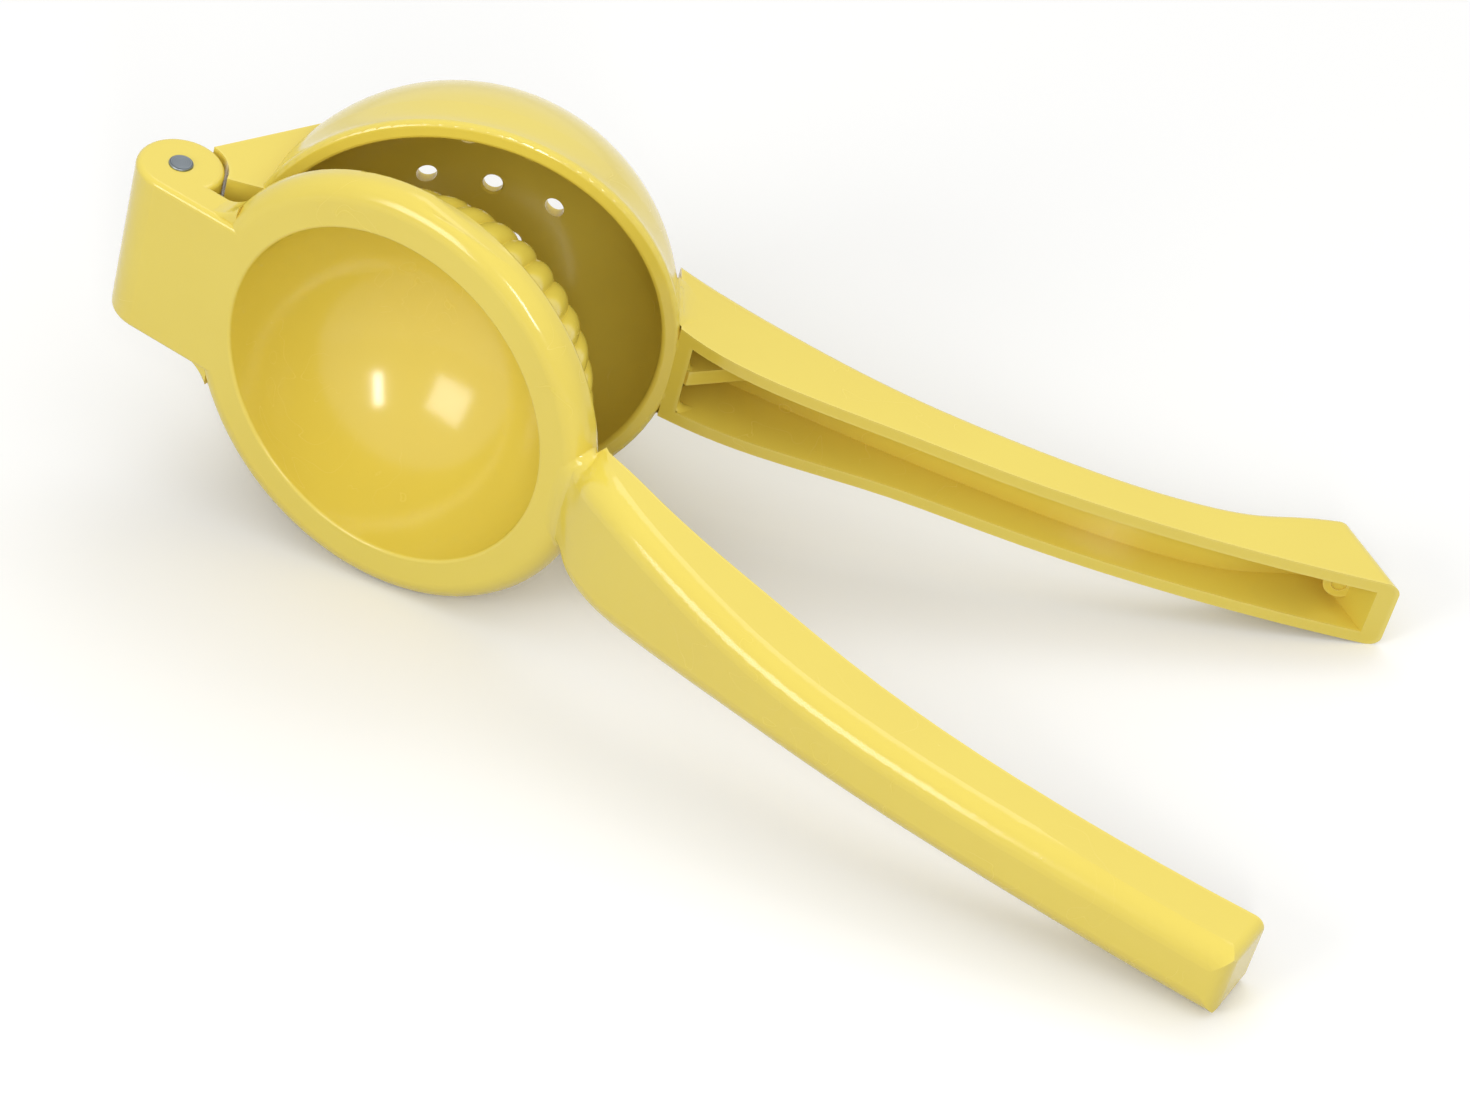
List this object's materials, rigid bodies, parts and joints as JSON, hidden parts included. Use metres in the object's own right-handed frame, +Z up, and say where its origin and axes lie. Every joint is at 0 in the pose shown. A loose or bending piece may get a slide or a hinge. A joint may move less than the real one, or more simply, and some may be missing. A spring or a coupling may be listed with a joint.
{
  "type": "hinged citrus squeezer",
  "caption": "Hinged hand squeezer: a perforated bowl and a ribbed cup on long channel handles, swinging together on one pin.",
  "frame": {"origin": "centre of the bounding box on the surface the squeezer lies on", "axes": "+X from the hinge towards the handle tips, halfway between the two halves; +Y towards the strainer half; +Z up"},
  "size_m": [0.21, 0.116, 0.0742],
  "materials": {
    "enamel": "glossy yellow enamel on cast aluminium",
    "pin_steel": "plain turned steel"
  },
  "bodies": {
    "strainer": {"strainer_half": "enamel"},
    "press": {"press_half": "enamel", "hinge_pin": "pin_steel"}
  },
  "joints": [
    {"name": "hinge", "type": "hinge", "parent": "strainer", "child": "press", "pos_m": [-0.09531, 0.01, 0.04616], "axis": [-0.1975, 0, -0.9803], "range_deg": [-23.5, 90]}
  ]
}
